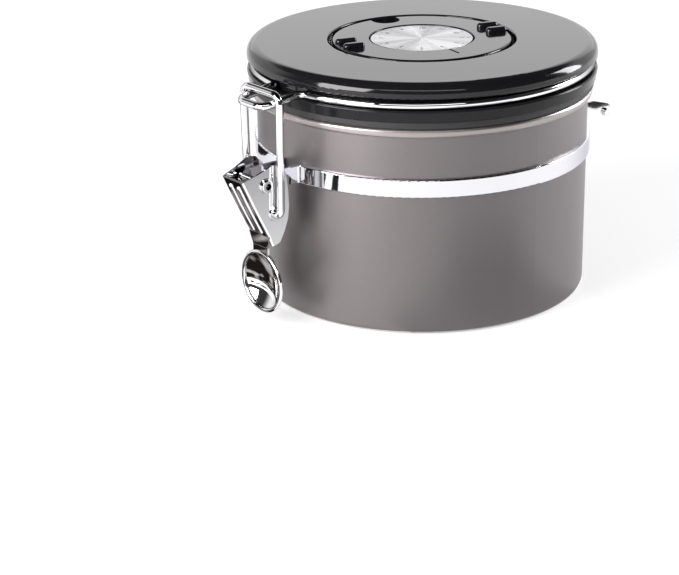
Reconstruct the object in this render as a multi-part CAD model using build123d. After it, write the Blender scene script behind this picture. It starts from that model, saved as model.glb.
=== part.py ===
from build123d import *

import math
import os

# Canister body: a drawn cup with a rounded foot and a rolled lip.
body_radius = 61.0
body_sheet = 0.8
foot_round = 2.5
lip_overhang = 1.6
lip_height = 3.2
lip_top = 76.2
lip_round = 1.15
lip_slit = 0.15
curl_round_share = 0.48
lip_radius = body_radius + lip_overhang
lip_low = lip_top - lip_height

# Clamp band: a strip round the body, its ends bent out as two ears.
band_below_lip = 18.1
band_width = 6.6
band_sheet = 1.2
band_edge_round = 0.45
ear_outer_face = 4.9
ear_bend_radius = 1.2
ear_stub = 3.4
ear_end_radius = 3.9
scallop_reach = 6.6
scallop_drop = 5.9
scallop_radius = 3.9
band_top = lip_top - band_below_lip
band_low = band_top - band_width
band_radius = body_radius + band_sheet

# Lid: an upper moulding with the dial well, and a lower one with the plug.
lid_overhang = 3.2
lid_edge_round = 3.8
lid_wall = 2.2
lid_small_round = 0.6
seal_gap = 0.3
gasket_height = 2.4
flange_height = 4.2
flange_step = 0.1
flange_taper = 0.6
groove_height = 4.0
groove_depth = 3.4
rim_height = 5.4
plug_clearance = 11.0
plug_depth = 11.4
plug_round = 1.5
spigot_gap = 0.2
spigot_height = 2.9
spigot_wall = 2.0
moulding_floor = 2.0
well_radius = 34.5
well_depth = 6.0
boss_ring_radius = 28.0
boss_radius = 3.4
boss_angle = 45.0
boss_count = 4
well_vent_radius = 1.2
well_vent_ring_radius = 10.0
well_vent_count = 6
lid_radius = body_radius + lid_overhang
groove_radius = lid_radius - groove_depth
flange_radius = lid_radius + flange_step
flange_low_radius = flange_radius - flange_taper
plug_radius = body_radius - plug_clearance
gasket_low = lip_top + seal_gap
flange_low = gasket_low + gasket_height
groove_low = flange_low + flange_height
groove_top = groove_low + groove_height
lid_top = groove_top + rim_height
spigot_top = groove_low + spigot_height
plug_low = flange_low - plug_depth
well_floor = lid_top - well_depth

# Gasket: a silicone ring with a thicker sealing pad at its rim.
gasket_step = 0.6
pad_width = 4.4
gasket_web = 1.2
gasket_round = 0.5
gasket_radius = flange_low_radius - gasket_step

# Lid ring: one wire round the lid, with a nose in front and two hinge tails behind.
wire_radius = 1.4
wire_end_round = 0.4
ring_slack = 0.1
ring_tilt_angle = 0.55
nose_reach = 14.5
nose_drop = 2.45
nose_half_width = 7.3
nose_corner_radius = 4.0
nose_root_radius = 2.6
nose_kink_reach = 1.4
nose_kink_radius = 12.0
tail_half_width = 13.0
tail_root_radius = 2.6
tail_reach = 2.8
tail_bend_radius = 2.6
tail_rise = 2.6
hinge_reach = 16.4
hinge_below_band = 6.1
hinge_foot_radius = 2.2
ring_radius = groove_radius + wire_radius + ring_slack
ring_height = groove_low + groove_height / 2
nose_out = lid_radius + nose_reach
nose_height = ring_height - nose_drop
nose_kink_out = lid_radius + nose_kink_reach
tail_out = lid_radius + tail_reach
hinge_out = lid_radius + hinge_reach
hinge_height = band_top - hinge_below_band
tail_low = hinge_height + tail_rise

# Bail: one wire loop, its feet turned in through the lever.
bail_side_gap = 0.2
bail_corner_radius = 3.4
bail_foot_radius = 2.4
bail_foot_end = 4.7
bail_taper = 0.9
bar_behind_nose = 4.9
bar_above_nose = 3.9
bail_half_width = nose_half_width + 2 * wire_radius + bail_side_gap
bail_low_half_width = bail_half_width - bail_taper
bail_top_out = nose_out - bar_behind_nose
bail_top_height = nose_height + bar_above_nose

# Latch lever: its pivot on the ears, then its side outline as (outwards, upwards) from the pivot.
pivot_reach = 16.7
rivet_radius = 1.6
rivet_bore = 1.2
rivet_head_radius = 2.35
rivet_head_height = 0.6
rivet_head_round = 0.3
side_gap = 0.2
rivet_head_gap = 0.1
running_fit = 0.05
bail_hole_behind = 3.8
bail_hole_below = 11.2
lever_sheet = 0.8
lever_edge_round = 1.0
lever_flare_angle = 6.0
flare_front_share = 0.1
lever_crown_step = (10.0, 2.8)
lever_front_steps = [(6.4, -4.8, 9.0), (2.6, -12.6, 9.0), (-1.0, -19.6, 2.0)]
lever_tip_step = (-2.4, -23.3)
lever_back_steps = [
    (-5.5, -22.3, 1.5),
    (-7.4, -18.3, 2.0),
    (-8.8, -13.8, 2.0),
    (-9.2, -9.2, 3.0),
    (-8.8, -3.0, 4.0),
    (-7.9, 3.2, 2.0),
    (-6.1, 6.4, 1.5),
    (-2.5, 7.2, 2.0),
    (3.7, 4.7, 6.0),
]
collar_radius = 2.7
collar_height = 0.2
collar_spare = 0.4
rib_radius = 1.1
rib_spacing = 4.6
rib_rise = 0.65
rib_top_inset = 3.0
rib_low_inset = 2.0
pivot_out = body_radius + pivot_reach
pivot_height = band_top - ear_end_radius
bail_hole_out = pivot_out - bail_hole_behind
bail_hole_height = pivot_height - bail_hole_below
lever_crown = (pivot_out + lever_crown_step[0], pivot_height + lever_crown_step[1])
lever_tip = (pivot_out + lever_tip_step[0], pivot_height + lever_tip_step[1])
lever_front = [(pivot_out + out, pivot_height + up, bend) for out, up, bend in lever_front_steps]
lever_back = [(pivot_out + out, pivot_height + up, bend) for out, up, bend in lever_back_steps]

# Thumb spoon: a round dish with a rolled rim, on a short neck below the lever.
spoon_behind_pivot = 1.8
spoon_below_pivot = 37.7
spoon_rim_radius = 10.9
spoon_roll_radius = 0.8
spoon_depth = 3.4
neck_half_width = 4.2
neck_waist_rise = 2.6
neck_round = 1.5
neck_sheet = 0.9
spoon_out = pivot_out - spoon_behind_pivot
spoon_height = pivot_height - spoon_below_pivot
neck_waist_height = spoon_height + spoon_rim_radius + neck_waist_rise

# Hinge bracket: a curved plate on the band, with two ears that hold the tails.
bracket_sheet = 1.0
bracket_below_band = 0.8
bracket_bend_radius = 1.2
bracket_stub = 3.4
bracket_tip_radius = 3.3
bracket_tail_gap = 1.6
bracket_shoulder_behind = 6.6
bracket_shoulder_radius = 2.4
hinge_foot_proud = 1.2
bracket_rivet_offset = 8.0
bracket_rivet_radius = 1.2
bracket_rivet_head = 2.3
bracket_rivet_dome = 0.9
bracket_top = band_top - bracket_below_band
bracket_ear_inner = tail_half_width + wire_radius + bracket_tail_gap
bracket_shoulder_out = hinge_out - bracket_shoulder_behind
hinge_foot_end = bracket_ear_inner + bracket_sheet + hinge_foot_proud

# Screws.
screw_radius = 1.4
screw_clearance = 0.2
screw_head_radius = 2.7
screw_head_height = 1.2
screw_head_round = 0.5
screw_bite = 9.0
screw_socket_radius = 1.1
screw_socket_depth = 0.7
socket_side_count = 6
hub_screw_bite = 3.0

# Dial: a ring that turns on a fixed hub, round a metal disc.
dial_gap = 1.7
dial_floor_gap = 0.15
dial_floor = 2.25
dial_wall = 2.0
dial_edge_round = 0.8
spindle_radius = 5.0
hub_thickness = 2.55
hub_inset = 0.2
disc_radius = 18.7
disc_gap = 0.6
disc_thickness = 0.65
disc_edge_round = 0.15
grip_length = 8.2
grip_width = 3.4
grip_rise = 1.9
grip_round = 1.2
grip_spacing = 7.8
grip_inset = 4.6
grip_angle = 72.0
half_turn_angle = 180.0
notch_angle = 166.0
notch_length = 8.4
notch_width = 10.6
notch_depth = 2.6
notch_corner_share = 0.48
notch_wall = 1.2
dial_radius = well_radius - dial_gap
dial_opening = disc_radius + disc_gap
hub_radius = disc_radius - hub_inset
grip_ring_radius = dial_radius - grip_inset
notch_inner_radius = dial_radius - notch_length

# One-way gas valve in the floor of the plug.
seat_bore = 12.0
seat_flange_radius = 14.0
seat_flange = 1.5
seat_vent_radius = 1.0
seat_vent_ring_radius = 4.0
seat_vent_count = 6
post_radius = 1.2
diaphragm_radius = 7.5
diaphragm_thickness = 0.8
diaphragm_bore_fit = 0.1
diaphragm_rest_gap = 0.05
diaphragm_lift = 1.2
lift_spare = 0.15
cage_side_gap = 1.0
cage_wall = 1.1
cage_round = 0.6
cage_vent_radius = 1.3
cage_vent_ring_radius = 5.2
cage_vent_count = 5
filter_radius = 10.5
filter_thickness = 0.7
filter_gap = 0.05
cover_rim = 4.5
cover_floor = 0.9
cover_round = 0.8
cover_slot_length = 6.0
cover_slot_width = 1.6
cover_slot_ring_radius = 5.6
cover_slot_count = 8
cage_radius = diaphragm_radius + cage_side_gap + cage_wall
cover_radius = filter_radius + cover_rim

latch_side = Plane(origin=(0, 0, 0), x_dir=(0, -1, 0), z_dir=(-1, 0, 0))
hinge_side = Plane.YZ


def outline(corners, plane=Plane.XZ):
    """A closed face from (across, up, corner radius) triples."""
    face = make_face(Polyline([(across, up) for across, up, _ in corners], close=True))
    for across, up, radius in corners:
        if radius:
            corner = face.vertices().sort_by_distance((across, up))[0]
            face = fillet(corner, radius)
    return plane * face


def turned(corners):
    """A solid of revolution about the canister's axis."""
    return revolve(outline(corners), axis=Axis.Z)


def pair(face, inner, outer):
    """A mirrored pair of plates, given as one side outline and two distances from the middle."""
    return extrude(face, amount=outer, both=True) - extrude(face, amount=inner, both=True)


def disc_at(plane, out, height, radius):
    """A circle drawn on a side plane."""
    return plane * Pos(out, height) * Circle(radius)


def rod(radius, low, high):
    """An upright cylinder on the axis, between two heights."""
    return Pos(0, 0, low) * extrude(Circle(radius), high - low)


def around(count, ring_radius, start=0.0):
    """Evenly spaced places round the axis."""
    return PolarLocations(ring_radius, count, start_angle=start)


def bent_path(points, radii):
    """Straight runs joined by arcs, through points in space."""
    points = [Vector(point) for point in points]
    edges = []
    start = points[0]
    for before, corner, after, radius in zip(points, points[1:], points[2:], radii):
        heading = (corner - before).normalized()
        leaving = (after - corner).normalized()
        half_bend = math.radians(heading.get_angle(leaving)) / 2
        setback = radius * math.tan(half_bend)
        arc_start = corner - heading * setback
        arc_end = corner + leaving * setback
        towards_centre = (leaving - heading).normalized()
        arc_middle = corner + towards_centre * (radius / math.cos(half_bend) - radius)
        edges.append(Line(start, arc_start))
        edges.append(ThreePointArc(arc_start, arc_middle, arc_end))
        start = arc_end
    edges.append(Line(start, points[-1]))
    return edges


def wire_along(edges, rounded_ends):
    """A round wire along the edges, with the ends at the given points rounded."""
    path = Wire(edges)
    section = Plane(origin=path @ 0, z_dir=path % 0) * Circle(wire_radius)
    wire = sweep(section, path=path)
    for end in rounded_ends:
        rim = wire.edges().filter_by(GeomType.CIRCLE).sort_by_distance(end)[0]
        wire = fillet(rim, wire_end_round)
    return wire


def make_canister_body():
    """The cup, in one sheet from the middle of the floor to the end of the rolled lip."""
    wall = body_radius - body_sheet
    curl_round = (lip_radius - body_sheet - body_radius) * curl_round_share
    return turned([
        (0, 0, 0),
        (body_radius, 0, foot_round),
        (body_radius, lip_top - body_sheet, curl_round),
        (lip_radius - body_sheet, lip_top - body_sheet, curl_round),
        (lip_radius - body_sheet, lip_low + body_sheet, curl_round),
        (body_radius + lip_slit, lip_low + body_sheet, 0),
        (body_radius + lip_slit, lip_low, 0),
        (lip_radius, lip_low, lip_round),
        (lip_radius, lip_top, lip_round),
        (wall, lip_top, lip_round),
        (wall, body_sheet, foot_round - body_sheet),
        (0, body_sheet, 0),
    ])


def make_clamp_band():
    """The strip, open at the front between two ears that carry the lever's rivet."""
    inner_face = ear_outer_face - band_sheet
    outer_radius = band_radius
    stub_end = outer_radius + ear_stub
    strip = Circle(outer_radius) - Circle(body_radius)
    strip -= Pos(0, -outer_radius / 2) * Rectangle(2 * inner_face, outer_radius)
    stub_root = math.sqrt(body_radius**2 - inner_face**2)
    stub_middle = -(stub_root + stub_end) / 2
    for side in (-1, 1):
        place = Pos(side * (inner_face + band_sheet / 2), stub_middle)
        strip += place * Rectangle(band_sheet, stub_end - stub_root)
    for side in (-1, 1):
        crook_out = math.sqrt(outer_radius**2 - ear_outer_face**2)
        crook = strip.vertices().sort_by_distance((side * ear_outer_face, -crook_out))[0]
        strip = fillet(crook, ear_bend_radius)
        heel = strip.vertices().sort_by_distance((side * inner_face, -stub_root))[0]
        strip = fillet(heel, ear_bend_radius + band_sheet)
    band = Pos(0, 0, band_low) * extrude(strip, band_top - band_low)
    rims = [
        edge
        for edge in band.edges().filter_by(GeomType.CIRCLE)
        if abs(edge.radius - outer_radius) < band_edge_round
        and edge.arc_center.Z != 0
    ]
    band = fillet(rims, band_edge_round) - bracket_rivets()

    scallop_out = band_radius + scallop_reach
    scallop_height = band_top - scallop_drop
    plate = outline([
        (stub_end, band_low, 0),
        (scallop_out, band_low, 0),
        (scallop_out, pivot_height - ear_end_radius, 0),
        (pivot_out, pivot_height - ear_end_radius, 0),
        (pivot_out, band_top, 0),
        (stub_end, band_top, 0),
    ], latch_side)
    plate += disc_at(latch_side, pivot_out, pivot_height, ear_end_radius)
    plate -= disc_at(latch_side, scallop_out, scallop_height, scallop_radius)
    plate -= disc_at(latch_side, pivot_out, pivot_height, rivet_radius)
    return band + pair(plate, inner_face, ear_outer_face)


def flare_at(out, height):
    """How far a side plate has spread at a point behind the lever's front fold."""
    fold_out = lever_crown[0] - lever_tip[0]
    fold_height = lever_crown[1] - lever_tip[1]
    behind = (lever_crown[0] - out) * fold_height - (lever_crown[1] - height) * fold_out
    return behind / math.hypot(fold_out, fold_height) * math.tan(math.radians(lever_flare_angle))


def flared_block(half_width):
    """A wedge along the lever's fold that spreads backwards, its half-width there given."""
    fold = (0, lever_crown[0] - lever_tip[0], lever_tip[1] - lever_crown[1])
    origin = (0, -lever_crown[0], lever_crown[1])
    across_fold = Plane(origin=origin, x_dir=(1, 0, 0), z_dir=fold)
    depth = body_radius
    spread = depth * math.tan(math.radians(lever_flare_angle))
    front = half_width - spread * flare_front_share
    section = outline([
        (-front, depth * flare_front_share, 0),
        (front, depth * flare_front_share, 0),
        (half_width + spread, -depth, 0),
        (-half_width - spread, -depth, 0),
    ], across_fold)
    return extrude(section, 2 * lever_crown[1], both=True)


def collar_reach(out, height, radius):
    """Where a flat collar on a flared plate starts, inside the sheet, and where it ends."""
    centre = ear_outer_face + side_gap + flare_at(out, height)
    slope = radius * math.tan(math.radians(lever_flare_angle))
    return centre + slope, centre + lever_sheet + slope + collar_height


def make_lever_rivet():
    """A tubular rivet with a rolled head outside each side plate."""
    _, collar_face = collar_reach(pivot_out, pivot_height, rivet_head_radius + collar_spare)
    head_start = collar_face + rivet_head_gap
    end = head_start + rivet_head_height
    shank = extrude(disc_at(latch_side, pivot_out, pivot_height, rivet_radius), end, both=True)
    head = disc_at(latch_side, pivot_out, pivot_height, rivet_head_radius)
    heads = pair(head, head_start, end)
    rims = [edge for edge in heads.edges() if abs(abs(edge.center().X) - end) < rivet_head_round]
    heads = fillet(rims, rivet_head_round)
    bore = extrude(disc_at(latch_side, pivot_out, pivot_height, rivet_bore), 2 * end, both=True)
    return shank + heads - bore


def spoon_dish():
    """The pressed dish with its rolled rim, opening outwards."""
    axis = Axis((0, 0, spoon_height), (0, -1, 0))
    front_radius = (spoon_rim_radius**2 + spoon_depth**2) / (2 * spoon_depth)
    sweep_angle = math.degrees(math.asin(spoon_rim_radius / front_radius))
    bottom = spoon_out - spoon_depth
    centre = (bottom, spoon_height)
    back = (bottom - lever_sheet, spoon_height)
    front_arc = JernArc(centre, (0, 1), front_radius, sweep_angle * -1)
    back_arc = JernArc(back, (0, 1), front_radius + lever_sheet, sweep_angle * -1)
    section = make_face([
        front_arc,
        Line(front_arc @ 1, back_arc @ 1),
        back_arc,
        Line(back, centre),
    ])
    dish = revolve(latch_side * section, axis=axis)
    roll = Pos(spoon_out, spoon_height + spoon_rim_radius) * Circle(spoon_roll_radius)
    return dish + revolve(latch_side * roll, axis=axis)


def lever_neck():
    """The sheet between the channel and the spoon, waisted in front view."""
    half_width = ear_outer_face + side_gap + lever_sheet
    low_out, low_height, _ = lever_front[-1]
    joint_height = spoon_height + spoon_rim_radius
    strip = outline([
        (low_out, low_height, 0),
        (spoon_out + neck_sheet / 2, neck_waist_height, neck_round),
        (spoon_out + neck_sheet / 2, joint_height, 0),
        (spoon_out - neck_sheet / 2, joint_height, 0),
        (spoon_out - neck_sheet / 2, neck_waist_height, neck_round),
        (low_out - neck_sheet, low_height, 0),
    ], latch_side)
    front = outline([
        (-half_width, low_height, 0),
        (-neck_half_width, neck_waist_height, neck_round),
        (-neck_half_width, joint_height, 0),
        (neck_half_width, joint_height, 0),
        (neck_half_width, neck_waist_height, neck_round),
        (half_width, low_height, 0),
    ])
    return extrude(strip, half_width, both=True) & extrude(front, lever_crown[0])


def lever_ribs():
    """Two ribs pressed along the front of the channel."""
    top_out, top_height = lever_crown
    next_out, next_height, _ = lever_front[0]
    low_out, low_height, _ = lever_front[-1]
    run = math.hypot(top_out - next_out, top_height - next_height)
    share = rib_top_inset / run
    start_out = top_out + (next_out - top_out) * share
    start_height = top_height + (next_height - top_height) * share
    middle_out, middle_height, bend = lever_front[1]
    last_run = math.hypot(middle_out - low_out, middle_height - low_height)
    low_share = rib_low_inset / last_run
    end_out = low_out + (middle_out - low_out) * low_share
    end_height = low_height + (middle_height - low_height) * low_share
    sink = rib_radius - rib_rise
    ribs = []
    for side in (-1, 1):
        across = side * rib_spacing / 2
        points = [
            (across, -(out - sink), height)
            for out, height in [
                (start_out, start_height),
                (next_out, next_height),
                (middle_out, middle_height),
                (end_out, end_height),
            ]
        ]
        path = Wire(bent_path(points, [bend, bend]))
        section = Plane(origin=path @ 0, z_dir=path % 0) * Circle(rib_radius)
        ribs.append(sweep(section, path=path))
        ribs.append(Pos(points[0]) * Sphere(rib_radius))
        ribs.append(Pos(points[-1]) * Sphere(rib_radius))
    return ribs


def make_latch_lever():
    """A channel of two side plates and a web, with the thumb spoon at its foot."""
    inner_face = ear_outer_face + side_gap
    outer_face = inner_face + lever_sheet
    corners = [(*lever_crown, 0)] + lever_front + [(*lever_tip, 0)] + lever_back
    channel = extrude(outline(corners, latch_side), 2 * outer_face, both=True)
    channel &= flared_block(outer_face)
    crown_out, crown_height = lever_crown
    bent_edges = [
        edge
        for edge in channel.edges()
        if abs(abs(edge.center().X) - outer_face) < lever_sheet / 2
        and -edge.center().Y > lever_front[-1][0]
        and edge.center().Z < crown_height
    ]
    channel = fillet(bent_edges, lever_edge_round)
    low_out, low_height, _ = lever_front[-1]
    behind = body_radius
    above = 2 * crown_height
    hollow = outline([
        (crown_out - lever_sheet, above, 0),
        (crown_out - lever_sheet, crown_height, 0),
        *[(out - lever_sheet, height, bend) for out, height, bend in lever_front[:-1]],
        (low_out - lever_sheet, low_height, 0),
        (low_out - lever_sheet, spoon_height, 0),
        (behind, spoon_height, 0),
        (behind, above, 0),
    ], latch_side)
    channel -= extrude(hollow, 2 * outer_face, both=True) & flared_block(inner_face)
    for out, height, radius in (
        (bail_hole_out, bail_hole_height, collar_radius),
        (pivot_out, pivot_height, rivet_head_radius + collar_spare),
    ):
        channel += pair(disc_at(latch_side, out, height, radius), *collar_reach(out, height, radius))
    lever = channel + lever_neck() + spoon_dish() + lever_ribs()
    pivot_hole = disc_at(latch_side, pivot_out, pivot_height, rivet_radius + running_fit)
    bail_hole = disc_at(latch_side, bail_hole_out, bail_hole_height, wire_radius + running_fit)
    lever -= extrude(pivot_hole, 2 * outer_face, both=True)
    lever -= extrude(bail_hole, 2 * outer_face, both=True)
    return lever


def make_bail_wire():
    """The loop that hooks over the nose, with its feet in the lever."""
    foot = (-bail_hole_out, bail_hole_height)
    top = (-bail_top_out, bail_top_height)
    points = [
        (-bail_foot_end, *foot),
        (-bail_low_half_width, *foot),
        (-bail_half_width, *top),
        (bail_half_width, *top),
        (bail_low_half_width, *foot),
        (bail_foot_end, *foot),
    ]
    bends = [bail_foot_radius, bail_corner_radius, bail_corner_radius, bail_foot_radius]
    return wire_along(bent_path(points, bends), [points[0], points[-1]])


def on_ring(across, along):
    """A point of the ring's plane, which dips slightly towards the latch."""
    tilt = math.radians(ring_tilt_angle)
    return Vector(across, along * math.cos(tilt), ring_height + along * math.sin(tilt))


def ring_turnout(half_width, bend, side):
    """The tangent arc between the ring and a run that leaves it, and the arc's three points."""
    centre_across = half_width + bend
    centre_along = side * math.sqrt((ring_radius + bend) ** 2 - centre_across**2)
    leave = on_ring(half_width, centre_along)
    share = ring_radius / (ring_radius + bend)
    join = on_ring(centre_across * share, centre_along * share)
    halfway_across = half_width + centre_across * share
    halfway_along = centre_along + centre_along * share
    to_middle_across = halfway_across / 2 - centre_across
    to_middle_along = halfway_along / 2 - centre_along
    reach = math.hypot(to_middle_across, to_middle_along)
    middle = on_ring(
        centre_across + to_middle_across * bend / reach,
        centre_along + to_middle_along * bend / reach,
    )
    return leave, middle, join


def make_lid_ring():
    """The ring, its nose and its hinge tails, as one wire made of two mirrored halves."""
    nose_leave, nose_middle, nose_join = ring_turnout(nose_half_width, nose_root_radius, -1)
    tail_leave, tail_middle, tail_join = ring_turnout(tail_half_width, tail_root_radius, 1)
    kink_height = nose_leave.Z
    nose = bent_path([
        (0, -nose_out, nose_height),
        (nose_half_width, -nose_out, nose_height),
        (nose_half_width, -nose_kink_out, kink_height),
        nose_leave,
    ], [nose_corner_radius, nose_kink_radius])
    tail = bent_path([
        tail_leave,
        (tail_half_width, tail_out, tail_leave.Z),
        (tail_half_width, tail_out, tail_low),
        (tail_half_width, hinge_out, hinge_height),
        (hinge_foot_end, hinge_out, hinge_height),
    ], [tail_bend_radius, tail_bend_radius, hinge_foot_radius])
    edges = nose + [
        ThreePointArc(nose_leave, nose_middle, nose_join),
        ThreePointArc(nose_join, on_ring(ring_radius, 0), tail_join),
        ThreePointArc(tail_join, tail_middle, tail_leave),
    ] + tail
    half = wire_along(edges, [(hinge_foot_end, hinge_out, hinge_height)])
    return half + mirror(half, about=Plane.YZ)


def make_hinge_bracket():
    """A curved plate on the band, its ends bent out as ears with the hinge holes."""
    inner_radius = band_radius
    outer_radius = inner_radius + bracket_sheet
    ear_outer = bracket_ear_inner + bracket_sheet
    stub_end = outer_radius + bracket_stub
    strip = Circle(outer_radius) - Circle(inner_radius)
    strip &= Pos(0, outer_radius / 2) * Rectangle(2 * ear_outer, outer_radius)
    root = math.sqrt(inner_radius**2 - bracket_ear_inner**2)
    heel_out = math.sqrt(inner_radius**2 - ear_outer**2)
    for side in (-1, 1):
        place = Pos(side * (bracket_ear_inner + bracket_sheet / 2), (root + stub_end) / 2)
        strip += place * Rectangle(bracket_sheet, stub_end - root)
    for side in (-1, 1):
        crook_out = math.sqrt(outer_radius**2 - bracket_ear_inner**2)
        crook = strip.vertices().sort_by_distance((side * bracket_ear_inner, crook_out))[0]
        strip = fillet(crook, bracket_bend_radius)
        heel = strip.vertices().sort_by_distance((side * ear_outer, heel_out))[0]
        strip = fillet(heel, bracket_bend_radius + bracket_sheet)
    plate = Pos(0, 0, band_low) * extrude(strip, bracket_top - band_low)
    plate -= bracket_rivets()

    shoulder_height = bracket_top - bracket_shoulder_radius
    stub = Pos(stub_end, (band_low + bracket_top) / 2)
    root_edges = (stub * Rectangle(bracket_sheet, bracket_top - band_low)).edges()
    shoulder = Pos(bracket_shoulder_out, shoulder_height) * Circle(bracket_shoulder_radius)
    tip = Pos(hinge_out, hinge_height) * Circle(bracket_tip_radius)
    ear = hinge_side * make_hull(root_edges + shoulder.edges() + tip.edges())
    ear -= disc_at(hinge_side, hinge_out, hinge_height, wire_radius + running_fit)
    return plate + pair(ear, bracket_ear_inner, ear_outer)


def bracket_rivets():
    """Two domed rivets through the bracket and the band, square to them."""
    height = (band_low + bracket_top) / 2
    seat = band_sheet + bracket_sheet
    dome_radius = (bracket_rivet_head**2 + bracket_rivet_dome**2) / (2 * bracket_rivet_dome)
    ball = Pos(0, 0, seat + bracket_rivet_dome - dome_radius) * Sphere(dome_radius)
    bedding = seat - bracket_sheet / 2
    head = ball & (Pos(0, 0, bedding + dome_radius) * Box(*[2 * dome_radius] * 3))
    rivet = head + rod(bracket_rivet_radius, 0, seat)
    turn = math.degrees(math.asin(bracket_rivet_offset / body_radius))
    outwards = Pos(0, 0, height) * Rot(0, 0, turn) * Pos(0, body_radius, 0) * Rot(-90, 0, 0)
    one = outwards * rivet
    return [one, mirror(one, about=Plane.YZ)]


def make_bracket_rivets():
    """Both rivets as one node."""
    return Compound(children=bracket_rivets())


def make_lid_cover():
    """The upper moulding: rounded rim, dial well and screw bosses."""
    wall = groove_radius - lid_wall
    roof = lid_top - lid_wall
    well_under = well_floor - moulding_floor
    cover = turned([
        (0, well_under, 0),
        (well_radius + lid_wall, well_under, lid_small_round),
        (well_radius + lid_wall, roof, lid_small_round),
        (wall, roof, lid_small_round),
        (wall, groove_low, 0),
        (groove_radius, groove_low, 0),
        (groove_radius, groove_top, lid_small_round),
        (lid_radius, groove_top, lid_small_round),
        (lid_radius, lid_top, lid_edge_round),
        (well_radius, lid_top, lid_small_round),
        (well_radius, well_floor, lid_small_round),
        (0, well_floor, 0),
    ])
    boss_low = plug_low + moulding_floor
    boss = Circle(boss_radius) - Circle(screw_radius)
    for place in around(boss_count, boss_ring_radius, boss_angle):
        cover += Pos(0, 0, boss_low) * place * extrude(boss, well_under - boss_low)
    vent = rod(well_vent_radius, well_under, well_floor)
    for place in around(well_vent_count, well_vent_ring_radius):
        cover -= place * vent
    return cover - rod(screw_radius, well_under, well_floor)


def make_lid_base():
    """The lower moulding: flange, spigot, and the hollow plug that enters the mouth."""
    spigot = groove_radius - lid_wall - spigot_gap
    plate_top = flange_low + lid_wall
    plug_wall = plug_radius - lid_wall
    floor_top = plug_low + moulding_floor
    base = turned([
        (0, plug_low, 0),
        (plug_radius, plug_low, plug_round),
        (plug_radius, flange_low, 0),
        (flange_low_radius, flange_low, lid_small_round / 2),
        (flange_radius, groove_low, lid_small_round),
        (spigot, groove_low, 0),
        (spigot, spigot_top, lid_small_round / 2),
        (spigot - spigot_wall, spigot_top, lid_small_round / 2),
        (spigot - spigot_wall, plate_top, lid_small_round),
        (plug_wall, plate_top, lid_small_round),
        (plug_wall, floor_top, lid_small_round),
        (0, floor_top, 0),
    ])
    base -= rod(seat_bore, plug_low, floor_top)
    hole = rod(screw_radius + screw_clearance, plug_low, floor_top)
    for place in around(boss_count, boss_ring_radius, boss_angle):
        base -= place * hole
    return base


def make_lid_gasket():
    """The sealing ring, held round the plug under the flange."""
    web_low = flange_low - gasket_web
    return turned([
        (plug_radius, flange_low, 0),
        (plug_radius, web_low, 0),
        (gasket_radius - pad_width, web_low, gasket_round),
        (gasket_radius - pad_width, gasket_low, gasket_round),
        (gasket_radius, gasket_low, gasket_round),
        (gasket_radius, flange_low, 0),
    ])


def screw(seat_height, bite):
    """A pan-head screw that points up, with its head below the seat."""
    head = rod(screw_head_radius, seat_height - screw_head_height, seat_height)
    low_rim = head.edges().group_by(Axis.Z)[0]
    head = fillet(low_rim, screw_head_round)
    socket = RegularPolygon(screw_socket_radius, socket_side_count)
    head -= Pos(0, 0, seat_height - screw_head_height) * extrude(socket, screw_socket_depth)
    return head + rod(screw_radius, seat_height, seat_height + bite)


def make_lid_screws():
    """The screws that join the two mouldings, driven up through the plug's floor."""
    one = screw(plug_low, moulding_floor + screw_bite)
    return Compound(children=[place * one for place in around(boss_count, boss_ring_radius, boss_angle)])


def make_dial_hub():
    """The fixed core that the dial turns on."""
    flange_under = well_floor + dial_floor_gap + dial_floor + dial_floor_gap
    top = flange_under + hub_thickness
    hub = turned([
        (0, well_floor, 0),
        (spindle_radius, well_floor, 0),
        (spindle_radius, flange_under, 0),
        (hub_radius, flange_under, 0),
        (hub_radius, top, disc_edge_round),
        (0, top, 0),
    ])
    return hub - rod(screw_radius, well_floor, well_floor + hub_screw_bite)


def make_dial_hub_screw():
    """The screw that holds the hub, driven from inside the lid."""
    return screw(well_floor - moulding_floor, moulding_floor + hub_screw_bite)


def make_dial_disc():
    """The brushed metal disc stuck to the hub."""
    low = well_floor + dial_floor_gap + dial_floor + dial_floor_gap + hub_thickness
    disc = rod(disc_radius, low, low + disc_thickness)
    return fillet(disc.edges().group_by(Axis.Z)[-1], disc_edge_round)


def grip_bars():
    """Two opposite pairs of rounded bars to turn the dial by."""
    bar = extrude(SlotOverall(grip_length, grip_width), dial_wall / 2 + grip_rise)
    bar = fillet(bar.edges().group_by(Axis.Z)[-1], grip_round)
    low = lid_top - dial_wall / 2
    bars = []
    for turn in (grip_angle, grip_angle + half_turn_angle):
        for side in (-1, 1):
            place = Rot(0, 0, turn) * Pos(grip_ring_radius, side * grip_spacing / 2, low)
            bars.append(place * bar)
    return bars


def notch_shape(grow):
    """The thumb notch in plan, open at the rim and rounded inside."""
    half_width = notch_width / 2 + grow
    inner = notch_inner_radius - grow
    outer = well_radius
    corner = half_width * notch_corner_share * 2
    return outline([
        (inner, -half_width, corner),
        (outer, -half_width, 0),
        (outer, half_width, 0),
        (inner, half_width, corner),
    ], Plane.XY)


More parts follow.
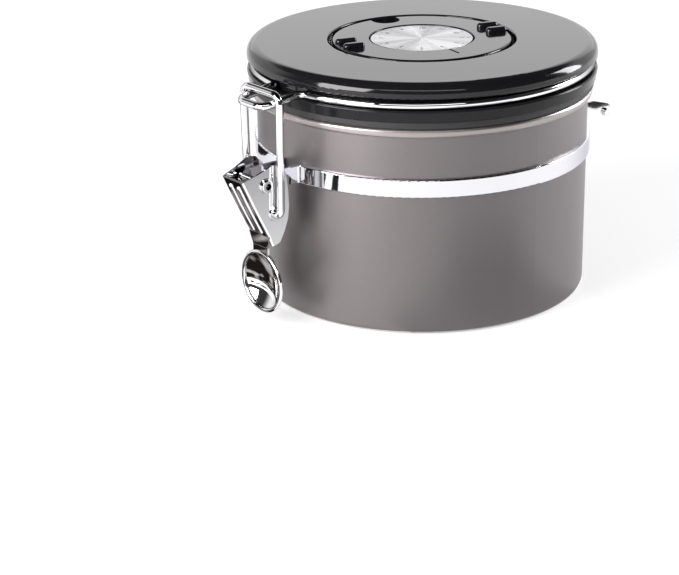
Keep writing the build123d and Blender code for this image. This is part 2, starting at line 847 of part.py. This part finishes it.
def make_dial_ring():
    """The dial: a hollow ring on the hub, with grip bars and a thumb notch."""
    low = well_floor + dial_floor_gap
    floor_top = low + dial_floor
    roof = lid_top - dial_wall
    bore = spindle_radius + running_fit
    inner_wall = dial_opening + dial_wall
    outer_wall = dial_radius - dial_wall
    dial = turned([
        (bore, low, 0),
        (inner_wall, low, 0),
        (inner_wall, roof, dial_edge_round),
        (outer_wall, roof, dial_edge_round),
        (outer_wall, low, 0),
        (dial_radius, low, 0),
        (dial_radius, lid_top, dial_edge_round),
        (dial_opening, lid_top, dial_edge_round / 2),
        (dial_opening, floor_top, 0),
        (bore, floor_top, 0),
    ])
    notch_floor = lid_top - notch_depth
    lining_low = notch_floor - notch_wall
    lining = Rot(0, 0, notch_angle) * extrude(notch_shape(notch_wall), roof - lining_low)
    lining = Pos(0, 0, lining_low) * lining
    lining &= rod(outer_wall, low, lid_top) - rod(inner_wall, low, lid_top)
    notch = Rot(0, 0, notch_angle) * extrude(notch_shape(0), notch_depth)
    dial = dial + lining - Pos(0, 0, notch_floor) * notch
    return dial + grip_bars()


def make_valve_seat():
    """The vented seat, set in the plug's floor from above, with the guide post."""
    floor_top = plug_low + moulding_floor
    top = floor_top + seat_flange
    seat = rod(seat_bore, plug_low, floor_top) + rod(seat_flange_radius, floor_top, top)
    for place in around(seat_vent_count, seat_vent_ring_radius):
        seat -= place * rod(seat_vent_radius, plug_low, top)
    post_top = top + diaphragm_rest_gap + diaphragm_thickness + diaphragm_lift + lift_spare
    return seat + rod(post_radius, top, post_top)


def make_valve_diaphragm():
    """The silicone disc that lifts off the vents."""
    low = plug_low + moulding_floor + seat_flange + diaphragm_rest_gap
    high = low + diaphragm_thickness
    return rod(diaphragm_radius, low, high) - rod(post_radius + diaphragm_bore_fit, low, high)


def make_valve_cage():
    """The vented cap that limits the diaphragm's lift."""
    low = plug_low + moulding_floor + seat_flange
    ceiling = low + diaphragm_rest_gap + diaphragm_thickness + diaphragm_lift + lift_spare
    top = ceiling + cage_wall
    cage = turned([
        (cage_radius - cage_wall, low, 0),
        (cage_radius, low, 0),
        (cage_radius, top, cage_round),
        (0, top, 0),
        (0, ceiling, 0),
        (cage_radius - cage_wall, ceiling, 0),
    ])
    for place in around(cage_vent_count, cage_vent_ring_radius):
        cage -= place * rod(cage_vent_radius, ceiling, top)
    return cage


def make_valve_filter():
    """The thin filter disc under the seat."""
    high = plug_low - filter_gap
    return rod(filter_radius, high - filter_thickness, high)


def make_valve_cover():
    """The slotted cover that holds the filter from below."""
    pocket_low = plug_low - filter_gap - filter_thickness - filter_gap
    low = pocket_low - cover_floor
    cover = turned([
        (0, low, 0),
        (cover_radius, low, cover_round),
        (cover_radius, plug_low, 0),
        (filter_radius + filter_gap, plug_low, 0),
        (filter_radius + filter_gap, pocket_low, 0),
        (0, pocket_low, 0),
    ])
    slot = extrude(SlotOverall(cover_slot_length, cover_slot_width), cover_floor)
    for place in around(cover_slot_count, cover_slot_ring_radius):
        cover -= Pos(0, 0, low) * place * slot
    return cover


pieces = {
    "canister_body": make_canister_body,
    "clamp_band": make_clamp_band,
    "lever_rivet": make_lever_rivet,
    "latch_lever": make_latch_lever,
    "bail_wire": make_bail_wire,
    "hinge_bracket": make_hinge_bracket,
    "bracket_rivets": make_bracket_rivets,
    "lid_ring": make_lid_ring,
    "lid_cover": make_lid_cover,
    "lid_base": make_lid_base,
    "lid_gasket": make_lid_gasket,
    "lid_screws": make_lid_screws,
    "dial_hub": make_dial_hub,
    "dial_hub_screw": make_dial_hub_screw,
    "dial_ring": make_dial_ring,
    "dial_disc": make_dial_disc,
    "valve_seat": make_valve_seat,
    "valve_diaphragm": make_valve_diaphragm,
    "valve_cage": make_valve_cage,
    "valve_filter": make_valve_filter,
    "valve_cover": make_valve_cover,
}

os.makedirs("parts", exist_ok=True)
for name, make in pieces.items():
    piece = make()
    piece.label = name
    export_step(piece, f"parts/{name}.step")
    print(name, len(piece.solids()), round(piece.volume, 1))
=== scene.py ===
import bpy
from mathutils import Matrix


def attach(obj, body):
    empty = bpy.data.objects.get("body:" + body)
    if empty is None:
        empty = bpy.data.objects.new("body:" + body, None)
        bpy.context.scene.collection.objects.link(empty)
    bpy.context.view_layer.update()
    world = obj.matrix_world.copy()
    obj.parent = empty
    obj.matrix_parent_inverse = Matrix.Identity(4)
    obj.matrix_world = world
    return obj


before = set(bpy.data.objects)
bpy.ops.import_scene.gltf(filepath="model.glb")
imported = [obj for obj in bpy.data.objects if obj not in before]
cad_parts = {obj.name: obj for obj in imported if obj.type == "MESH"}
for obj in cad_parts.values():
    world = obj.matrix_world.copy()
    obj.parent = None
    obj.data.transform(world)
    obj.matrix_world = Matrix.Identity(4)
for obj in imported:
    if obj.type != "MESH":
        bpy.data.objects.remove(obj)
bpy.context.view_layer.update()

import math

import bpy
from mathutils import Matrix, Vector


# Canister body: one deep-drawn stainless cup with a rolled lip. Outside it wears a satin
# warm-grey coat baked on after drawing, with a painted highlight on the lip in a paler
# colour; inside it is bare polished steel with fine turning marks.

class Signal:
    """A socket in a finish; arithmetic on signals adds the Math nodes."""

    def __init__(self, finish, socket):
        self.finish = finish
        self.socket = socket

    def reckon(self, operation, *values):
        settings = {"operation": operation}
        return self.finish.node("ShaderNodeMath", settings, dict(enumerate(values)))

    def __add__(self, other):
        return self.reckon("ADD", self, other)

    def __radd__(self, other):
        return self.reckon("ADD", other, self)

    def __sub__(self, other):
        return self.reckon("SUBTRACT", self, other)

    def __rsub__(self, other):
        return self.reckon("SUBTRACT", other, self)

    def __mul__(self, other):
        return self.reckon("MULTIPLY", self, other)

    def __rmul__(self, other):
        return self.reckon("MULTIPLY", other, self)

    def __gt__(self, other):
        return self.reckon("GREATER_THAN", self, other)

    def __lt__(self, other):
        return self.reckon("LESS_THAN", self, other)


class Finish:
    """A material built node by node on one Principled surface."""

    def __init__(self, name, tree=None):
        if tree is None:
            self.material = bpy.data.materials.new(name)
            self.material.use_nodes = True
            tree = self.material.node_tree
            self.surface = tree.nodes["Principled BSDF"]
        self.tree = tree

    def feed(self, socket, value):
        if isinstance(value, Signal):
            self.tree.links.new(value.socket, socket)
        else:
            socket.default_value = value

    def node(self, kind, settings=None, inputs=None, output=0):
        made = self.tree.nodes.new(kind)
        for name, value in (settings or {}).items():
            setattr(made, name, value)
        for name, value in (inputs or {}).items():
            self.feed(made.inputs[name], value)
        return Signal(self, made.outputs[output])

    def set(self, **values):
        for name, value in values.items():
            label = name.replace("_", " ").title().replace("Ior", "IOR")
            self.feed(self.surface.inputs[label], value)

    def place(self):
        return self.node("ShaderNodeTexCoord", output="Object")

    def parts(self, vector):
        split = self.node("ShaderNodeSeparateXYZ", inputs={"Vector": vector})
        return [Signal(self, socket) for socket in split.socket.node.outputs]

    def off_axis(self, vector):
        across, along = self.parts(vector)[:2]
        squares = across * across + along * along
        return squares.reckon("SQRT", squares)

    def stretched(self, vector, scale):
        return self.node("ShaderNodeMapping", inputs={"Vector": vector, "Scale": scale})

    def grain(self, vector, scale, detail=3.0, roughness=0.5):
        inputs = {"Vector": vector, "Scale": scale, "Detail": detail, "Roughness": roughness}
        return self.node("ShaderNodeTexNoise", inputs=inputs)

    def blend(self, amount, first, second):
        # The Mix node's colour sockets share their names with others, so they go by number.
        inputs = {0: amount, 6: first, 7: second}
        return self.node("ShaderNodeMix", {"data_type": "RGBA"}, inputs, output=2)

    def relief(self, height, strength, distance):
        inputs = {"Height": height, "Strength": strength, "Distance": distance}
        return self.node("ShaderNodeBump", inputs=inputs)

    def dress(self, *nodes):
        for name in nodes:
            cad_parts[name].material_slots[0].material = self.material


mid_wall_radius = 0.0606
mid_floor_height = 0.0004
lip_start = 0.0728
turning_marks = (60.0, 60.0, 4200.0)

satin = Finish("satin_coat")
spot = satin.place()
height = satin.parts(spot)[2]
inside = (satin.off_axis(spot) < mid_wall_radius) * (height > mid_floor_height)
outside = 1 - inside
rolled = (height > lip_start) * outside
mottle = satin.grain(spot, scale=900.0, detail=4.0)
spun = satin.grain(satin.stretched(spot, turning_marks), scale=1.0, detail=3.0)
coat_colour = satin.blend(mottle, (0.198, 0.183, 0.184, 1), (0.216, 0.200, 0.200, 1))
# The lip's paler colour over the rolled mask is a painted highlight, not a different coat.
lip_painted_highlight_colour = satin.blend(mottle, (0.370, 0.338, 0.332, 1), (0.410, 0.376, 0.368, 1))
steel_colour = satin.blend(spun, (0.62, 0.60, 0.58, 1), (0.74, 0.73, 0.71, 1))
coat_with_painted_lip_highlight = satin.blend(rolled, coat_colour, lip_painted_highlight_colour)
bumps = mottle * outside * (1 - rolled) + spun * inside * 2.0
satin.set(
    base_color=satin.blend(inside, coat_with_painted_lip_highlight, steel_colour),
    metallic=0.85 + inside * 0.15,
    roughness=0.37 + mottle * 0.05 - inside * 0.16 - rolled * 0.09,
    normal=satin.relief(bumps, strength=0.05, distance=0.0002),
)
satin.dress("canister_body")


# Clamp band, lever rivet, lever, bail, lid ring, hinge bracket and its rivets: polished
# stainless strip, sheet and wire, with faint handling marks. The band is rolled strip,
# a little greyer; a dark edge tint paints shade towards their edges, more on the wire
# and the pressings.

for name, dull, clean, painted_edge_darkening, members in (
    (
        "polished_strip",
        (0.78, 0.78, 0.81, 1),
        (0.84, 0.84, 0.87, 1),
        (0.75, 0.75, 0.78, 1),
        ("clamp_band",),
    ),
    (
        "polished_steel",
        (0.88, 0.88, 0.89, 1),
        (0.94, 0.94, 0.94, 1),
        (0.12, 0.12, 0.13, 1),
        (
            "lever_rivet",
            "latch_lever",
            "bail_wire",
            "hinge_bracket",
            "bracket_rivets",
            "lid_ring",
        ),
    ),
):
    bright = Finish(name)
    spot = bright.place()
    smears = bright.grain(spot, scale=45.0, detail=5.0, roughness=0.6)
    drawn = bright.grain(spot, scale=700.0, detail=2.0)
    bright.set(
        base_color=bright.blend(smears, dull, clean),
        metallic=1.0,
        roughness=0.02 + smears * 0.04,
        # The edge tint is painted shade: a darkening towards the edges that stands in for dark
        # reflections.
        specular_tint=painted_edge_darkening,
        normal=bright.relief(drawn, strength=0.03, distance=0.0001),
    )
    bright.dress(*members)


# Lid mouldings: glossy black ABS, upper and lower halves from polished moulds, with the
# faint ripple and hairline rub marks of such a gloss. The lower half is a little duller.

hairlines = (1200.0, 90.0, 300.0)

for name, dullness, refraction in (("lid_cover", 0.07, 1.45), ("lid_base", 0.12, 1.34)):
    gloss = Finish("gloss_black_" + name)
    spot = gloss.place()
    ripple = gloss.grain(spot, scale=26.0, detail=2.0)
    rubbed = gloss.grain(gloss.stretched(spot, hairlines), scale=1.0, detail=4.0, roughness=0.7)
    gloss.set(
        base_color=gloss.blend(rubbed, (0.006, 0.006, 0.007, 1), (0.010, 0.010, 0.011, 1)),
        roughness=dullness + rubbed * 0.05,
        ior=refraction,
        normal=gloss.relief(ripple, strength=0.02, distance=0.0006),
    )
    gloss.dress(name)


# Gasket and valve diaphragm: black silicone, moulded, with a dull skin that picks up
# a little dust.

silicone = Finish("black_silicone")
dust = silicone.grain(silicone.place(), scale=380.0, detail=6.0, roughness=0.7)
silicone.set(
    base_color=silicone.blend(dust, (0.014, 0.014, 0.015, 1), (0.030, 0.030, 0.031, 1)),
    roughness=0.48 + dust * 0.16,
    normal=silicone.relief(dust, strength=0.15, distance=0.0002),
)
silicone.dress("lid_gasket", "valve_diaphragm")


# Lid screws and the hub's screw: zinc-plated self-tapping screws with a hex socket. Four
# join the lid's two halves, and one, driven from inside the lid, holds the hub.

plated = Finish("plated_screws")
speckle = plated.grain(plated.place(), scale=1500.0, detail=3.0)
plated.set(
    base_color=plated.blend(speckle, (0.55, 0.56, 0.58, 1), (0.70, 0.70, 0.70, 1)),
    metallic=1.0,
    roughness=0.24 + speckle * 0.14,
)
plated.dress("lid_screws", "dial_hub_screw")


# Hub, valve seat, cage and cover: small natural-finish black mouldings with a fine
# spark-eroded texture.

eroded = Finish("textured_black")
pits = eroded.grain(eroded.place(), scale=2200.0, detail=3.0, roughness=0.6)
eroded.set(
    base_color=eroded.blend(pits, (0.016, 0.016, 0.017, 1), (0.028, 0.028, 0.029, 1)),
    roughness=0.42 + pits * 0.18,
    normal=eroded.relief(pits, strength=0.35, distance=0.0001),
)
eroded.dress("dial_hub", "valve_seat", "valve_cage", "valve_cover")


# Valve filter: a punched disc of pale needle felt under the valve's seat, held there from
# below by the slotted cover.

fibre_lay = (1800.0, 900.0, 1200.0)

felt = Finish("filter_felt")
strands = felt.stretched(felt.place(), fibre_lay)
fibres = felt.grain(strands, scale=1.0, detail=6.0, roughness=0.8)
felt.set(
    base_color=felt.blend(fibres, (0.42, 0.40, 0.35, 1), (0.66, 0.64, 0.58, 1)),
    roughness=0.95,
    normal=felt.relief(fibres, strength=0.6, distance=0.0004),
)
felt.dress("valve_filter")


# Dial ring: the same gloss black moulding as the lid, turned by its grip bars, which
# leaves it a little more handled than the lid.

dial_gloss = Finish("dial_gloss")
handled = dial_gloss.grain(dial_gloss.place(), scale=140.0, detail=5.0, roughness=0.65)
dial_gloss.set(
    base_color=dial_gloss.blend(handled, (0.006, 0.006, 0.007, 1), (0.010, 0.010, 0.011, 1)),
    roughness=0.06 + handled * 0.06,
    ior=1.45,
)
dial_gloss.dress("dial_ring")


# Dial disc: a stamped aluminium disc, brushed on a spindle, with its fine rings in the
# relief. The light those rings throw from the middle is painted into its colour as broad
# fan-shaped painted highlights and fine radial rays by bearing. It is stuck to the hub.

def faded(finish, value, start, end, first=0.0, last=1.0, curve="LINEAR"):
    inputs = {"Value": value, "From Min": start, "From Max": end, "To Min": first, "To Max": last}
    return finish.node("ShaderNodeMapRange", {"interpolation_type": curve}, inputs)


rings_per_metre = 6000.0

spun_metal = Finish("spun_aluminium")
spot = spun_metal.place()
turns = spun_metal.off_axis(spot) * rings_per_metre
ring_place = spun_metal.node("ShaderNodeCombineXYZ", inputs={"X": turns})
rings = spun_metal.grain(ring_place, scale=1.0, detail=2.0)
flattened = spun_metal.stretched(spot, (1, 1, 0))
heading = spun_metal.node("ShaderNodeVectorMath", {"operation": "NORMALIZE"}, {0: flattened})
# Painted highlight: broad and fine light by bearing round the middle, set in the base colour.
painted_broad_fan = spun_metal.grain(heading, scale=1.6, detail=1.0)
painted_fine_rays = spun_metal.grain(heading, scale=26.0, detail=3.0)
painted_fan_highlight = faded(spun_metal, painted_broad_fan * 0.75 + painted_fine_rays * 0.25, start=0.36, end=0.62)
spun_metal.set(
    base_color=spun_metal.blend(painted_fan_highlight, (0.32, 0.32, 0.33, 1), (0.68, 0.68, 0.69, 1)),
    metallic=1.0,
    roughness=0.22 + rings * 0.10,
    normal=spun_metal.relief(rings, strength=0.7, distance=0.00008),
)
spun_metal.dress("dial_disc")


# Pointer: a short black line moulded on the dial ring, which is read against the disc
# and turns with the ring.

def bar(length, width, thickness):
    bpy.ops.object.select_all(action="DESELECT")
    bpy.ops.mesh.primitive_cube_add(size=1, location=(0, 0, 0))
    made = bpy.context.object
    made.data.transform(Matrix.Diagonal((length, width, thickness, 1)))
    return made


def set_out(piece, bearing, radius, level):
    turn = Matrix.Rotation(math.radians(bearing), 4, "Z")
    piece.data.transform(turn @ Matrix.Translation((radius, 0, level)))


pointer_bearing = -11.5
pointer_radius = 0.0232
pointer_level = 0.09252

pointer = bar(length=0.0062, width=0.0007, thickness=0.00016)
pointer.name = "dial_pointer"
bpy.ops.object.modifier_add(type="BEVEL")
pointer.modifiers["Bevel"].width = 0.00007
pointer.modifiers["Bevel"].segments = 2
bpy.ops.object.modifier_apply(modifier="Bevel")
set_out(pointer, pointer_bearing, pointer_radius, pointer_level)

ink = Finish("pointer_black")
wear = ink.grain(ink.place(), scale=2600.0, detail=4.0, roughness=0.6)
ink.set(
    base_color=ink.blend(wear, (0.004, 0.004, 0.004, 1), (0.010, 0.010, 0.010, 1)),
    roughness=0.55 + wear * 0.2,
    specular_ior_level=0.1,
)
pointer.data.materials.append(ink.material)
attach(pointer, "dial")


# Disc marks: twelve plain numbers and a tick outside each, printed in grey round the
# edge of the metal disc so that a date can be set.

first_bearing = pointer_bearing + 90
month_step = 30
figure_height = 0.0026
figure_radius = 0.0146
tick_radius = 0.0172
disc_face = max(corner[2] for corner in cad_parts["dial_disc"].bound_box)

marks = []
for number in range(1, 13):
    bearing = first_bearing - month_step * number
    bpy.ops.object.select_all(action="DESELECT")
    bpy.ops.object.text_add(location=(0, 0, 0))
    figure = bpy.context.object
    figure.data.body = str(number)
    figure.data.size = figure_height
    figure.data.extrude = 0.00003
    figure.data.align_x = "CENTER"
    figure.data.align_y = "CENTER"
    bpy.ops.object.convert(target="MESH")
    figure.data.transform(Matrix.Rotation(math.radians(-90), 4, "Z"))
    tick = bar(length=0.0012, width=0.00016, thickness=0.00006)
    set_out(figure, bearing, figure_radius, disc_face)
    set_out(tick, bearing, tick_radius, disc_face)
    marks += [figure, tick]
bpy.ops.object.select_all(action="DESELECT")
for piece in marks:
    piece.select_set(True)
bpy.context.view_layer.objects.active = marks[0]
bpy.ops.object.join()
figures = bpy.context.object
figures.name = "disc_marks"

printed = Finish("disc_print")
wear = printed.grain(printed.place(), scale=2600.0, detail=4.0, roughness=0.6)
printed.set(
    base_color=printed.blend(wear, (0.050, 0.050, 0.055, 1), (0.10, 0.10, 0.105, 1)),
    roughness=0.5 + wear * 0.2,
)
figures.data.materials.clear()
figures.data.materials.append(printed.material)
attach(figures, "lid")


# Studio floor: a pale seamless sheet. To the camera and to bright metal it shows nearly
# white, and whiter far away, and it keeps the canister's soft shadow.

def ray_kinds(finish):
    outlets = finish.node("ShaderNodeLightPath").socket.node.outputs
    kinds = ("Is Camera Ray", "Is Glossy Ray", "Is Transmission Ray")
    return [Signal(finish, outlets[kind]) for kind in kinds]


def at_most_one(value):
    return value.reckon("MINIMUM", value, 1.0)


bpy.ops.mesh.primitive_plane_add(size=6.0, location=(0, 0, 0))
floor = bpy.context.object
floor.name = "studio_floor"
paper = Finish("studio_paper")
seen, shiny, through = ray_kinds(paper)
shown = at_most_one(seen + shiny + through)
far = faded(paper, paper.off_axis(paper.place()), start=0.35, end=1.1)
glow = paper.blend(far, (0.57, 0.57, 0.57, 1), (0.95, 0.95, 0.95, 1))
paper.set(
    base_color=paper.blend(shown, (0.80, 0.80, 0.81, 1), (0.50, 0.50, 0.51, 1)),
    roughness=0.9,
    emission_color=paper.blend(shown, (0.0, 0.0, 0.0, 1), glow),
    emission_strength=1.0,
)
floor.data.materials.append(paper.material)


# Lamps: four soft boxes, a large one low at the latch's side, a narrow one in front and
# two behind, all turned to the middle of the canister.

canister_middle = Vector((0, 0, 0.05))

for name, place, width, height, power, tint in (
    ("left_softbox", (-0.03, -0.85, 0.34), 0.54, 0.50, 11.1, (1.0, 0.955, 0.965)),
    ("front_softbox", (0.62, -0.55, 0.66), 0.90, 0.14, 1.3, (0.985, 0.985, 1.0)),
    ("back_softbox", (-0.80, 0.71, 0.46), 1.30, 0.50, 1.05, (0.98, 0.97, 1.0)),
    ("rim_softbox", (0.35, 0.90, 0.35), 0.30, 0.60, 7.0, (0.985, 0.985, 1.0)),
):
    bpy.ops.object.light_add(type="AREA", location=place)
    lamp = bpy.context.object
    lamp.name = name
    lamp.data.shape = "RECTANGLE"
    lamp.data.size = width
    lamp.data.size_y = height
    lamp.data.energy = power
    lamp.data.color = tint
    lamp.visible_camera = False
    lamp.rotation_euler = (canister_middle - lamp.location).to_track_quat("-Z", "Y").to_euler()


# Painted reflections: sheets on the floor which only bright metal and gloss reflect. Black
# sheets paint the dark streaking in the latch and the band; a glowing sheet of speckles
# before the spoon paints a speckled reflection, and a glowing grey sheet at the right of
# the body paints a grey reflection, paler nearer the body.

# Black sheet, faintly glowing, seen only in reflection: a painted dark reflection.
painted_dark_reflection = Finish("painted_dark_flag")
painted_dark_reflection.set(
    base_color=(0, 0, 0, 1),
    roughness=1.0,
    specular_ior_level=0.0,
    emission_color=(1, 1, 1, 1),
    emission_strength=0.02,
)
# Glowing speckles seen only in reflection: a painted reflection before the spoon.
painted_speckle_glow = Finish("painted_speckle_reflection")
painted_speckle_noise = painted_speckle_glow.grain(painted_speckle_glow.place(), scale=75.0, detail=1.0)
spread = faded(painted_speckle_glow, painted_speckle_noise, start=0.50, end=0.66)
painted_speckle_glow.set(
    base_color=(0, 0, 0, 1),
    roughness=1.0,
    specular_ior_level=0.0,
    emission_color=painted_speckle_glow.blend(spread, (0.014, 0.011, 0.010, 1), (0.60, 0.57, 0.55, 1)),
    emission_strength=1.0,
)
# Glowing grey sheet, paler nearer the body, seen only in reflection: a painted reflection.
grey = Finish("grey_painted_reflection")
painted_reflection_falloff = faded(grey, grey.parts(grey.place())[0], start=0.145, end=0.06)
grey.set(
    base_color=(0, 0, 0, 1),
    roughness=1.0,
    emission_color=grey.blend(painted_reflection_falloff, (0.36, 0.36, 0.375, 1), (0.70, 0.70, 0.71, 1)),
    emission_strength=1.0,
)

card_level = 0.0005

# Each sheet below is seen only in reflection and paints a reflection; none is a real cloth or
# card.
for name, across, along, width, depth, painted_reflection_sheet in (
    ("left_flag", -0.040, -0.106, 0.090, 0.062, painted_speckle_glow),
    ("edge_flag", -0.240, -0.080, 0.100, 0.140, painted_dark_reflection),
    ("block_flag", -0.096, -0.220, 0.058, 0.080, painted_dark_reflection),
    ("stripe_flag", -0.044, -0.220, 0.012, 0.080, painted_dark_reflection),
    ("second_stripe_flag", -0.012, -0.220, 0.016, 0.080, painted_dark_reflection),
    ("hinge_flag", 0.1485, 0.215, 0.014, 0.016, painted_dark_reflection),
    ("right_painted_reflection", 0.100, -0.015, 0.115, 0.095, grey),
):
    bpy.ops.mesh.primitive_plane_add(size=1, location=(0, 0, 0))
    flag = bpy.context.object
    flag.name = name
    lay = Matrix.Translation((across, along, card_level))
    flag.data.transform(lay @ Matrix.Diagonal((width, depth, 1, 1)))
    flag.data.materials.append(painted_reflection_sheet.material)
    flag.visible_camera = False
    flag.visible_diffuse = False
    flag.visible_shadow = False


# Room: white to the camera. Metal and gloss see a white sweep behind the canister, with
# a dark ceiling over it, and a dim room in front; plain light from it is weak and even.

away_from_camera = (-0.749, 0.663, 0)
room_light = 0.40

world = bpy.data.worlds.new("studio")
world.use_nodes = True
bpy.context.scene.world = world
sky = Finish("studio", world.node_tree)
seen, shiny, through = ray_kinds(sky)
mirrored = at_most_one(shiny + through)
toward = sky.node("ShaderNodeTexCoord", output="Generated")
dot = {"operation": "DOT_PRODUCT"}
behind = sky.node("ShaderNodeVectorMath", dot, {0: toward, 1: away_from_camera}, "Value")
sweep = faded(sky, behind, 0.0, 0.4, first=0.04, last=1.0, curve="SMOOTHSTEP")
upward = sky.parts(toward)[2]
ceiling = faded(sky, upward, 0.46, 0.62, first=1.0, last=0.03, curve="SMOOTHSTEP")
unseen = mirrored * sweep * ceiling + (1 - mirrored) * room_light
backing = world.node_tree.nodes["Background"]
sky.feed(backing.inputs["Color"], (1, 1, 1, 1))
sky.feed(backing.inputs["Strength"], seen + (1 - seen) * unseen)


# Camera: at the photograph's angle, a long lens looking down on the latch and the right
# side, with the canister high in the frame.

camera_place = (0.5182, -0.4585, 0.2698)
heading_angle, dip_angle, roll_angle = 51.11, 21.72, -0.91

bpy.ops.object.camera_add(location=camera_place)
camera = bpy.context.object
camera.name = "photo_camera"
camera.data.lens = 102.6
camera.data.sensor_width = 36.0
camera.data.clip_start = 0.01
turned = Matrix.Rotation(math.radians(heading_angle), 4, "Z")
turned = turned @ Matrix.Rotation(math.radians(90 - dip_angle), 4, "X")
turned = turned @ Matrix.Rotation(math.radians(roll_angle), 4, "Z")
camera.rotation_euler = turned.to_euler()
bpy.context.scene.camera = camera
bpy.context.scene.view_settings.view_transform = "Standard"
